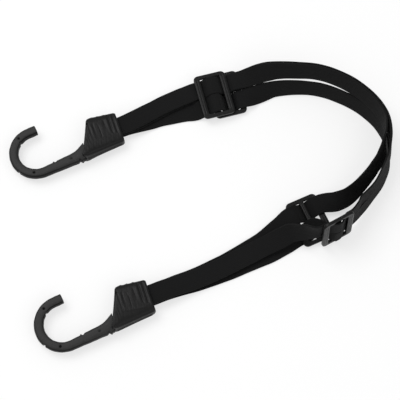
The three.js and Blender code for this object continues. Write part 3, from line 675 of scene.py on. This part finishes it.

# Runs of each band: from, to, body, and two distances along the band, or None where the run rides
# on its body
LAST_RUNS = [(392, 460, HOOK_L, (393, 458)), (460, END, HOOK_L, None)]
RUNS = {
    "band_a": [
        (0, 16, HOOK_U, None), (16, 62, HOOK_U, (61, 18)), (62, 88, LOW_U, (64, 86)),
        (88, 112, LOW_U, None), (112, 150, LOW_U, (149, 113.6)), (150, 288, "strap", None),
        (288, 311, TOP_L, (289, 310)), (311, 337, TOP_L, None), (337, 358, TOP_L, (353, 338)),
        (358, 392, "strap", None), *LAST_RUNS,
    ],
    "band_b": [
        (0, 16, HOOK_U, None), (16, 41, HOOK_U, (40, 18)), (41, 77, TOP_U, (41.8, 76.1)),
        (77, 101.5, TOP_U, None), (101.5, 104, TOP_U, (103.8, 101.7)),
        (104, 107, LOW_U, (104.2, 106.8)), (107, 112, LOW_U, None),
        (112, 150, LOW_U, (149, 113.6)), (150, 288, "strap", None),
        (288, 322, LOW_L, (292.4, 320.4)), (322, 349, LOW_L, None), (349, 392, LOW_L, (391, 350)),
        *LAST_RUNS,
    ],
    "band_c": [
        (0, 16, HOOK_U, None), (16, 41, HOOK_U, (40, 18)), (41, 77, TOP_U, (42.4, 76.5)),
        (77, 92, TOP_U, None), (92, 94.5, TOP_U, (94.3, 92.2)),
        (94.5, 97, LOW_U, (94.7, 96.8)), (97, 112, LOW_U, None),
        (112, 150, LOW_U, (149, 113)), (150, 288, "strap", None),
        (288, 311, TOP_L, (289, 310)), (311, 326.8, TOP_L, None),
        (326.8, 331, TOP_L, (330.8, 327)), (331, 335, LOW_L, (331.3, 332.2)),
        (335, 349, LOW_L, None), (349, 392, LOW_L, (391, 350)), *LAST_RUNS,
    ],
}


def lay_band(node):
    """The runs of one band, each riding on its body or left unattached between the strap and that body.
    """
    for number, (start, end, body, pull) in enumerate(RUNS[node]):
        piece = band_piece(f"{node}_run_{number:02d}", node, start, end)
        if pull is None:
            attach(piece, body)
        else:
            pull_point(node, pull[0])
            pull_point(node, pull[1])
            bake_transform(piece)
        if body == "strap" and end - start > FREE_RUN:
            path = (band_frame(ROUTES[node], np.linspace(start, end, CORD_POINTS))[0] + SHIFT) * MM


for band in ROUTES:
    lay_band(band)

# Slider frames as they are drawn: edge radii, the middle bar's inset and fillets, and the ridges

CORNERS = ((1, 1), (-1, 1), (-1, -1), (1, -1))
FRAME_ROUND = 0.55
BAR_ROUND = 0.5
BAR_INSET = 0.1
FILLET = 0.35
FILLET_REACH = 1.2
END_RIDGE, END_RIDGE_AT, END_RIDGE_WIDTH = 0.34, 0.75, 0.34
MIDDLE_RIDGE, MIDDLE_RIDGE_AT, MIDDLE_RIDGE_WIDTH = 0.12, 0.55, 0.26
RIDGE_STOP = 0.6
RIDGE_FADE = 0.8


def rounded_rectangle(half_x, half_y, radius, arc=7, flat=16):
    """Closed outline, the same count for every size: four quarter arcs joined by straight runs."""
    arcs = []
    for quarter, (sx, sy) in enumerate(CORNERS):
        turn = np.radians(90 * quarter + np.linspace(0, 90, arc))
        centre = np.array([sx * (half_x - radius), sy * (half_y - radius)])
        arcs.append(centre + radius * np.stack([np.cos(turn), np.sin(turn)], 1))
    runs = []
    for k in range(4):
        start, end = arcs[k][-1], arcs[(k + 1) % 4][0]
        share = np.linspace(0, 1, flat + 2)[1:-1, None]
        runs += [arcs[k], start + (end - start) * share]
    return np.vstack(runs)


def bar_section(flat=13, arc=4):
    """Unit data of a rounded bar's section: corner signs, quarter-arc cosines and sines, and the share
    across the flat, so that a point is sign x (half - radius) + radius x cosine."""
    rows = []
    for quarter, (sa, sb) in enumerate(CORNERS):
        turn = np.radians(90 * quarter + np.linspace(0, 90, arc + 1))
        rows += [(sa, sb, math.cos(t), math.sin(t)) for t in turn]
        if quarter in (0, 2):
            share = np.linspace(sa, -sa, flat + 2)[1:-1]
            rows += [(s, sb, 0.0, sb) for s in share]
    return np.array(rows)


def sweep_bar(inner, outer, thick, radius, ridge):
    """Rounded bar between an inner and an outer line (n, 2): the section spans them, and ridge(x, y)
    raises its upper flat. Returns rings (n, columns, 3) in the slider's own plane."""
    section = bar_section()
    middle, reach = (inner + outer) / 2, outer - inner
    span = np.linalg.norm(reach, axis=1)
    side = reach / span[:, None]
    a = section[None, :, 0] * (span[:, None] / 2 - radius) + radius * section[None, :, 2]
    b = section[:, 1] * (thick / 2 - radius) + radius * section[:, 3]
    flat = middle[:, None] + side[:, None] * a[..., None]
    height = np.broadcast_to(b, a.shape)
    raised = height + ridge(flat[..., 0], flat[..., 1])
    height = np.where(np.isclose(height, thick / 2), raised, height)
    return np.concatenate([flat, height[..., None]], -1)


def ridge_fade(y):
    """1 along the slots, falling to 0 before the rails."""
    return np.clip((SLOT_WIDTH / 2 - RIDGE_STOP - np.abs(y)) / RIDGE_FADE, 0, 1)


def end_ridges(x, y):
    """Two low ridges on each end bar: a bell curve of the distance from each ridge, times the fade."""
    out = np.abs(np.abs(x) - BAR_PITCH)
    bell = np.exp(-(((out - END_RIDGE_AT) / END_RIDGE_WIDTH) ** 2))
    return END_RIDGE * bell * ease(ridge_fade(y))


def middle_ridges(x, y):
    """Two low ridges on the middle bar: a bell curve round each, times the fade."""
    places = (-MIDDLE_RIDGE_AT, MIDDLE_RIDGE_AT)
    bells = [np.exp(-(((x + at) / MIDDLE_RIDGE_WIDTH) ** 2)) for at in places]
    return MIDDLE_RIDGE * (bells[0] + bells[1]) * ridge_fade(y)


def slider_frame():
    """Slider in its own plane: a ring swept round its outline, and a middle bar with filleted ends."""
    outer = rounded_rectangle(SLIDER_LENGTH / 2, SLIDER_HALF_WIDE, SLIDER_CORNER)
    inner = rounded_rectangle(SLIDER_LENGTH / 2 - END_BAR_WIDTH, SLOT_WIDTH / 2, SLOT_CORNER)
    ring = sweep_bar(inner, outer, BAR_THICKNESS, FRAME_ROUND, end_ridges)
    rows, columns = ring.shape[:2]
    ring_points = rows * columns
    reach = SLOT_WIDTH / 2 + RAIL_WIDTH / 2
    y = np.linspace(-reach, reach, 60)
    near_rail = np.clip((np.abs(y) - SLOT_WIDTH / 2 + FILLET_REACH) / FILLET_REACH, 0, 1)
    half_bar = BAR_WIDTH / 2 + FILLET * near_rail**2
    left, right = np.stack([-half_bar, y], 1), np.stack([half_bar, y], 1)
    bar = sweep_bar(left, right, BAR_THICKNESS - BAR_INSET, BAR_ROUND, middle_ridges)
    bar_points, bar_quads, bar_triangles = ring_solid(bar)
    points = np.vstack([ring.reshape(-1, 3), bar_points])
    quads = np.vstack([grid_quads(rows + 1, columns) % ring_points, bar_quads[:, ::-1] + ring_points])
    return points, quads, bar_triangles[:, ::-1] + ring_points


def slider_piece(name):
    """The frame laid on the strap: yaw turns it on the table, and tilt about the strap."""
    at, shift, height, tilt, yaw, over = SLIDERS[name]
    points, quads, triangles = slider_frame()
    points[:, 2] *= over
    point, along, outward = (v[0] for v in plan_at(np.array([at])))
    turn, swing = math.radians(tilt), math.radians(yaw)
    forward = np.append(along * math.cos(swing) + outward * math.sin(swing), 0)
    sideways = outward * math.cos(swing) - along * math.sin(swing)
    across = np.append(sideways * math.cos(turn), math.sin(turn))
    place = np.append(point + outward * shift, height)
    basis = np.stack([forward, across, np.cross(forward, across)])
    piece = add_mesh(name + "_frame", points @ basis + place, quads, triangles, LOOKS["slider_plastic"])
    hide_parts(name)
    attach(piece, name)


for slider in SLIDERS:
    slider_piece(slider)

# Hooks, drawn with the socket's mouth at the origin and the socket along -x

HOOK_RADIUS = 16.7
HOOK_REACH = 31.4
HOOK_SIDE = 1.7
SHANK_ANGLE = math.radians(6.5)
SHANK_END = -(SOCKET_LENGTH + 0.3)
HOOK_CENTRE = np.array([SHANK_END - HOOK_REACH, HOOK_SIDE])
TIP_LENGTH = 6.4
SHEATH_WIDTH, SHEATH_HEIGHT = 6.7, 6.9
SHANK_WIDTH, SHANK_HEIGHT = 8.8, 8.4
SHANK_STEPS, ARC_STEPS, TIP_STEPS = 60, 130, 20
SHEATH_POWER = 0.58
SHEATH_POINTS = 72

# Faint waves of the sheath's width: share, steps per radian and phase
SHEATH_WAVES = ((0.0125, 4.3, 0.0), (0.01, 2.1, 1.7))

# Foot of the shank: it widens from this share of the shank on, on one side
FLARE_WIDTH, FLARE_FROM, FLARE_POWER = 4.4, 0.76, 2.6

# Tip: share of the width by which it bulges, least size of a ring, and how bluntly it closes
TIP_BULGE, TIP_LEAST, TIP_POWER = 0.09, 0.02, 0.55

# Parting line on both sides: how far it stands out, and its half width as a share of the half height
SEAM_RISE, SEAM_SHARE = 0.16, 0.3 / 3.4

# The socket's heel slants, x = first + second * y, and the cover's end leans and sinks into it
HEEL_LINE, HEEL_REACH, HEEL_SINK = (-27.4, 0.385), 6.0, 1.6

# Holes of the locating pins: station on the shank, two angles on the arc, radius and depth
PIN_STATION, PIN_ANGLES = 18, (248.4, 123.8)
PIN_RADIUS, PIN_DEPTH = 0.8, 1.4

# Where a pit ends and how wide its slope is, in radii, and the least height above the middle
PIT_END, PIT_SLOPE = 1.35, 0.55
PIT_ABOVE = 0.5

# Notches, or burrs where the depth is negative: angle or station, side, and depth on the shank
ARC_NOTCHES, ARC_NOTCH_DEPTH = ((130, -1), (213, 1)), 0.9
SHANK_NOTCHES = ((41, 1, 1.0), (43, 1, -0.7), (7, -1, 0.8), (4, -1, -0.7))
SHANK_NOTCH_AT = 0.43
NOTCH_RADIUS, NOTCH_SLOPE = 1.3, 0.9


def superellipse(count, power):
    """Unit ring of a rounded rectangle: the cosine and the sine, their sizes raised to the power."""
    turn = np.linspace(0, 2 * math.pi, count, endpoint=False)
    ring = np.stack([np.cos(turn), np.sin(turn)])
    return np.sign(ring) * np.abs(ring) ** power


def hook_line():
    """Middle line of the hook from the socket to the tip: straight shank, half circle, straight tip.
    Returns points, directions and how far up the shank each one is, as a share."""
    lead = np.array([math.cos(SHANK_ANGLE), math.sin(SHANK_ANGLE)])
    normal = np.array([lead[1], -lead[0]])
    foot, crown = HOOK_CENTRE + normal * HOOK_RADIUS, HOOK_CENTRE - normal * HOOK_RADIUS
    length = (SHANK_END - foot[0]) / lead[0]
    share = np.linspace(1, 0, SHANK_STEPS, endpoint=False)
    shank = foot + lead * (share * length)[:, None]
    turn = np.linspace(0, math.pi, ARC_STEPS)
    spoke = np.stack([
        normal[0] * np.cos(turn) + normal[1] * np.sin(turn),
        -normal[0] * np.sin(turn) + normal[1] * np.cos(turn),
    ], 1)
    arc = HOOK_CENTRE + spoke * HOOK_RADIUS
    tip = crown + lead * np.linspace(0, TIP_LENGTH, TIP_STEPS)[1:, None]
    points = np.vstack([shank, arc, tip])
    heads = np.vstack([
        np.repeat(-lead[None], len(shank), 0),
        np.stack([spoke[:, 1], -spoke[:, 0]], 1),
        np.repeat(lead[None], len(tip), 0),
    ])
    return points, heads, np.concatenate([share, np.zeros(len(arc) + len(tip))])


def hook_rings():
    """Sheath of the hook: a superellipse ring at each station, wider up the shank, with a thin parting
    line on both sides, faint waves and a rounded tip."""
    points, heads, share = hook_line()
    flare = FLARE_WIDTH * (np.maximum(share - FLARE_FROM, 0) / (1 - FLARE_FROM)) ** FLARE_POWER
    wide = SHEATH_WIDTH + (SHANK_WIDTH - SHEATH_WIDTH) * share + flare
    tall = SHEATH_HEIGHT + (SHANK_HEIGHT - SHEATH_HEIGHT) * share
    points = points + np.stack([heads[:, 1], -heads[:, 0]], 1) * flare[:, None] / 2
    angle = np.linspace(0, math.pi / 2, 14)[1:]
    bulge = heads[-1] * np.sin(angle)[:, None] * SHEATH_WIDTH * TIP_BULGE
    points = np.vstack([points, points[-1] + bulge])
    heads = np.vstack([heads, np.repeat(heads[-1:], len(angle), 0)])
    close = np.maximum(np.cos(angle), TIP_LEAST) ** TIP_POWER
    wide, tall = (np.concatenate([v, v[-1] * close]) for v in (wide, tall))
    a, b = superellipse(SHEATH_POINTS, SHEATH_POWER)
    seam = SEAM_RISE * np.exp(-((b / SEAM_SHARE) ** 2)) * np.sign(a)
    across = np.stack([-heads[:, 1], heads[:, 0], np.zeros(len(heads))], 1)
    centre = np.column_stack([points, np.full(len(points), SOCKET_MID)])
    fade = np.concatenate([np.ones(len(share)), close**2])
    reach = a[None] * wide[:, None] / 2 + seam[None] * fade[:, None]
    step = np.arange(len(points))[:, None]
    waves = sum(size * np.sin(step / run + phase) for size, run, phase in SHEATH_WAVES)
    reach = reach * (1 + waves)
    rings = centre[:, None] + across[:, None] * reach[..., None]
    rings[..., 2] += b[None] * tall[:, None] / 2
    lean_in = np.clip((rings[..., 0] - SHANK_END + HEEL_REACH) / HEEL_REACH, 0, 1) ** 2
    rings[..., 0] += lean_in * (HEEL_LINE[0] + HEEL_LINE[1] * rings[..., 1] + HEEL_SINK - SHANK_END)
    return rings


def pit(points, spot, radius, depth):
    """Sinks the upper points near a spot, by the depth times a smooth step of their distance from it."""
    away = np.linalg.norm(points[..., :2] - np.array(spot), axis=-1)
    drop = depth * ease((radius * PIT_END - away) / (radius * PIT_SLOPE))
    upper = points[..., 2] > SOCKET_MID + PIT_ABOVE
    return points - (drop * upper)[..., None] * [0, 0, 1]


def notch(rings, spot, inward, depth):
    """Mould notch, or a burr where the depth is negative: points near the spot move along inward."""
    away = np.linalg.norm(rings[..., :2] - np.array(spot), axis=-1)
    move = depth * ease((NOTCH_RADIUS - away) / NOTCH_SLOPE)
    return rings + move[..., None] * np.append(inward, 0.0)


def arc_spot(degrees, radius=HOOK_RADIUS):
    """Point on the hook's arc at that angle."""
    turn = math.radians(degrees)
    return HOOK_CENTRE + radius * np.array([math.cos(turn), math.sin(turn)])


def hook_sheath(name, place):
    """Cover of one hook with its pin holes, notches and burrs."""
    rings = hook_rings()
    line, _, _ = hook_line()
    for spot in (line[PIN_STATION], *(arc_spot(turn) for turn in PIN_ANGLES)):
        rings = pit(rings, spot, PIN_RADIUS, PIN_DEPTH)
    for turn, side in ARC_NOTCHES:
        spot = arc_spot(turn, HOOK_RADIUS + side * SHEATH_WIDTH / 2)
        inward = -side * (arc_spot(turn) - HOOK_CENTRE) / HOOK_RADIUS
        rings = notch(rings, spot, inward, ARC_NOTCH_DEPTH)
    rise = np.array([-math.sin(SHANK_ANGLE), math.cos(SHANK_ANGLE)])
    for station, side, depth in SHANK_NOTCHES:
        spot = line[station] + side * rise * SHANK_WIDTH * SHANK_NOTCH_AT
        rings = notch(rings, spot, -side * rise, depth)
    points, quads, triangles = ring_solid(rings)
    piece = add_mesh(name + "_hook_cover", place(points), quads, triangles, LOOKS["hook_plastic"])
    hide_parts(name + "_hook_sheath")
    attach(piece, name + "_hook_end")


# Sockets: outlines of the far and near side seen from above, x and y from the heel to the mouth

SOCKET_HIGH = [
    (-32.7, -13.2), (-31.9, -11.6), (-29.8, -6.2), (-28.0, -1.8), (-25.4, 4.6), (-23.3, 10.0),
    (-22.6, 12.2), (-21.5, 13.5), (-19.4, 13.9), (-10, 13.0), (-1.2, 12.2), (0, 11.4),
]
SOCKET_LOW = [
    (-32.7, -13.6), (-32.0, -14.3), (-30.4, -15.3), (-28.6, -15.4), (-16, -13.9), (-1.2, -12.4),
    (0, -11.4),
]
SOCKET_POWER = 0.42
SOCKET_POINTS = 160

# Height at the heel, the share that it loses up to the mouth, and the share left at x round the ends
HEEL_HEIGHT, MOUTH_LOSS = 13.55, 0.22
END_ROUND = [(-32.7, 0.8), (-32.3, 0.94), (-31.2, 1), (-1.2, 1), (-0.3, 0.93), (0, 0.84)]

# Hollow that holds the bands: x, half its width and half its height, from the mouth inwards
HOLLOW = [
    (0.0, 8.4, 3.6), (-0.5, 7.7, 3.1), (-2.2, 7.6, 3.0),
    *[(x, 8.35, 4.05) for x in (-2.5, -6.0, -12.0, -20.0)], (-22.8, 8.2, 3.8),
]

# Grooves, with a negative height, and ribs across the faces: x, y from and to, half width and height
FOLDS = [
    (-2.9, -5.5, 11.2, 0.55, -0.7), (-6.2, -4.5, 11.4, 0.6, -0.9), (-10.2, 0.5, 8.6, 0.6, -0.3),
    (-18.6, 0.4, 8.6, 0.7, -0.45), (-21.8, 1.6, 9.4, 0.6, -0.3), (-15.4, 4.2, 8.2, 0.45, -0.2),
    (-4.5, -4.5, 10.6, 0.8, 0.45), (-8.0, -2.2, 9.6, 0.8, 0.35), (-20.2, -1.6, 7.4, 0.8, 0.25),
    (-1.0, -8.0, 11.0, 0.7, 0.3), (-12.8, 1.6, 6.8, 1.2, 0.2),
]
FOLD_SLANT = 0.02
FOLD_FADE = 1.4
WAVE, RIPPLE = 0.05, 0.02

# Long rib low on the faces, on the line y = first + second * x, which fades out at its two ends
LONG_RIB_LINE, LONG_RIB_WIDTH, LONG_RIB = (-8.6, -0.16), 0.7, 0.28
LONG_RIB_FROM, LONG_RIB_TO, LONG_RIB_FADE = -30, -4, 3

# Share of all these heights that is used, and where the faces begin and how fast, in half heights
FOLD_SHARE, FACE_FROM, FACE_FADE = 0.45, 0.55, 0.4

# Knobs on the far flank and a ledge cut back on the near one: where a flank begins and how fast, in
# half widths, and how far up and down each goes, in half heights
FLANK_FROM, FLANK_FADE = 0.82, 0.18
KNOBS, KNOB_RISE, KNOB_BAND = (-9, -13.4, -17.8), 0.9, 0.55
LEDGE, LEDGE_BAND = [(-31, 0), (-29, 0.9), (-3, 0.9), (-1.6, 0)], 0.1

# Pits in the upper face
SOCKET_PITS = ((-14.6, 0.6), (-22.4, 8.8))
SOCKET_PIT_RADIUS, SOCKET_PIT_DEPTH = 0.7, 0.9


def profile(x, rows):
    """Value at x on the straight lines between rows of x and value."""
    return np.interp(x, *np.array(rows).T)


def fold(x, y, at, low, high, width, height):
    """Groove or rib along y: a bell curve round x = at + slant * y, faded at its two ends."""
    off = (x - at - FOLD_SLANT * y) / width
    run = np.clip((y - low) / FOLD_FADE, 0, 1) * np.clip((high - y) / FOLD_FADE, 0, 1)
    return height * np.exp(-(off**2)) * run


def wrinkles(x, y):
    """How far the socket's faces stand out at x, y: the folds, two waves and the long rib."""
    rise = sum(fold(x, y, *row) for row in FOLDS)
    rise += WAVE * np.sin(x * 1.9 + y * 0.35) * np.sin(y * 0.55 + 0.8)
    rise += RIPPLE * np.sin(x * 3.3 - y * 0.8 + 1.1)
    off = (y - LONG_RIB_LINE[0] - LONG_RIB_LINE[1] * x) / LONG_RIB_WIDTH
    start = np.clip((x - LONG_RIB_FROM) / LONG_RIB_FADE, 0, 1)
    stop = np.clip((LONG_RIB_TO - x) / LONG_RIB_FADE, 0, 1)
    return rise + LONG_RIB * np.exp(-(off**2)) * start * stop


def smoothed(line):
    """The line with each point but the two at either end replaced by a weighted mean of five."""
    kernel = np.array([1, 2, 3, 2, 1]) / 9
    means = np.convolve(np.pad(line, 2, mode="edge"), kernel, "valid")
    return np.concatenate([line[:2], means[2:-2], line[-2:]])


def socket_rings():
    """Socket as a loft along x: superellipse sections between its high and low outlines, taller at the
    heel, turned in at the mouth's rim and carried back inside as the hollow that holds the bands."""
    heel_part = np.linspace(SOCKET_HIGH[0][0], -20, 70)
    x = np.concatenate([heel_part, np.linspace(-19.8, -0.3, 84), [-0.1, 0.0]])
    high = smoothed(profile(x, SOCKET_HIGH))
    low = smoothed(profile(x, SOCKET_LOW))
    tall = HEEL_HEIGHT * (1 - MOUTH_LOSS * np.clip(1 + x / SOCKET_LENGTH, 0, 1)) / 2
    tall = tall * profile(x, END_ROUND)
    a, b = superellipse(SOCKET_POINTS, SOCKET_POWER)
    y = (high + low)[:, None] / 2 + a[None] * (high - low)[:, None] / 2
    z = b[None] * tall[:, None]
    xs = np.broadcast_to(x[:, None], y.shape)
    flatness = np.clip((np.abs(b) - FACE_FROM) / FACE_FADE, 0, 1)[None]
    z = z + np.sign(z) * wrinkles(xs, y) * flatness * FOLD_SHARE
    knobs = sum(KNOB_RISE * np.exp(-((x - at) ** 2)) for at in KNOBS)
    far_flank = np.clip((a - FLANK_FROM) / FLANK_FADE, 0, 1) * np.exp(-((b / KNOB_BAND) ** 2))
    near_flank = np.clip((-a - FLANK_FROM) / FLANK_FADE, 0, 1) * np.exp(-((b / LEDGE_BAND) ** 2))
    y = y + knobs[:, None] * far_flank[None] - profile(x, LEDGE)[:, None] * near_flank[None]
    outer = np.stack([xs, y, SOCKET_MID + z], -1)
    depth, half_wide, half_tall = np.array(HOLLOW).T[..., None]
    inner_y, inner_z = a[None] * half_wide, SOCKET_MID + b[None] * half_tall
    inner = np.stack([np.broadcast_to(depth, inner_y.shape), inner_y, inner_z], -1)
    return np.concatenate([outer, inner])


def socket_piece(name, place):
    """Moulding of one socket with the pits of its upper face."""
    rings = socket_rings()
    for spot in SOCKET_PITS:
        rings = pit(rings, spot, SOCKET_PIT_RADIUS, SOCKET_PIT_DEPTH)
    points, quads, triangles = ring_solid(rings)
    piece = add_mesh(name + "_socket_moulding", place(points), quads, triangles, LOOKS["socket_plastic"])
    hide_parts(name + "_socket")
    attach(piece, name + "_hook_end")


def place_at(mouth):
    """Turns a hook end, drawn with its mouth at the origin, by the arm's heading onto its mouth."""
    x, y = heading
    turn = np.array([[x, y, 0], [-y, x, 0], [0, 0, 1]])
    return lambda points: points @ turn + np.append(mouth, 0)


def keep_steel(end_name):
    """The CAD solids of the hook's wire and the crimp clip stay, with their own steels."""
    for node, look in (("_hook_core", "hook_steel"), ("_crimp_clip", "clip_steel")):
        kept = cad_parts[end_name + node]
        kept.data.materials.clear()
        kept.data.materials.append(LOOKS[look])


for end_name, mouth in (("upper", UPPER_MOUTH), ("lower", LOWER_MOUTH)):
    hook_sheath(end_name, place_at(mouth))
    socket_piece(end_name, place_at(mouth))
    keep_steel(end_name)

# Table, lamps and world, in metres and watts. A lamp has its place, size and power

TABLE_REACH = 3.0
TABLE_GLOW = 1.24
LAMPS = {
    "key": ((-0.5, 0.35, 1.1), 0.7, 6.5),
    "fill": ((0.7, -0.6, 0.9), 0.9, 2.5),
}
SKY_STRENGTH = 0.55


def table_look():
    """White table: a pale diffuse floor with white mixed in where the camera, glossy or clear rays see
    it, so that it keeps the strap's shadow."""
    m = Maker("white_table")
    kinds = ("Is Camera Ray", "Is Glossy Ray", "Is Transmission Ray")
    seen = m.outputs(m.node("ShaderNodeLightPath"), kinds)
    share = (seen[0] + seen[1] + seen[2]) * 0.5
    speckle = m.noise(m.node("ShaderNodeTexCoord", output="Object"), scale=300.0)
    m.finish(Base_Color=m.mix(speckle, grey(0.79), grey(0.81)), Roughness=0.9, Specular_IOR_Level=0.1)
    glow = m.node("ShaderNodeEmission", sockets={"Strength": TABLE_GLOW})
    lit = Sum(m, m.shader.outputs[0])
    mixed = m.node("ShaderNodeMixShader", sockets={0: share, 1: lit, 2: glow})
    m.feed(m.tree.nodes["Material Output"].inputs["Surface"], mixed)
    return m.material


def add_table():
    """Square white table under the strap, for the picture only."""
    mesh = bpy.data.meshes.new("table")
    mesh.from_pydata([(sx * TABLE_REACH, sy * TABLE_REACH, 0) for sx, sy in CORNERS], [], [(0, 1, 2, 3)])
    mesh.materials.append(table_look())
    table = bpy.data.objects.new("table", mesh)
    bpy.context.scene.collection.objects.link(table)


def add_lamp(name, place, size, power):
    """Square area lamp that faces the middle of the strap."""
    data = bpy.data.lights.new(name, "AREA")
    data.size, data.energy = size, power
    lamp = bpy.data.objects.new(name, data)
    bpy.context.scene.collection.objects.link(lamp)
    lamp.location = place
    x, y, z = place
    lamp.rotation_euler = (math.atan2(math.hypot(x, y), z), 0.0, math.atan2(x, -y))


def add_world():
    """Even white light from all round."""
    world = bpy.data.worlds.new("studio")
    world.use_nodes = True
    background = world.node_tree.nodes["Background"]
    background.inputs["Color"].default_value = grey(1.0)
    background.inputs["Strength"].default_value = SKY_STRENGTH
    bpy.context.scene.world = world


add_table()
for lamp_name, lamp_setting in LAMPS.items():
    add_lamp(lamp_name, *lamp_setting)
add_world()
bpy.context.scene.view_settings.view_transform = "Standard"
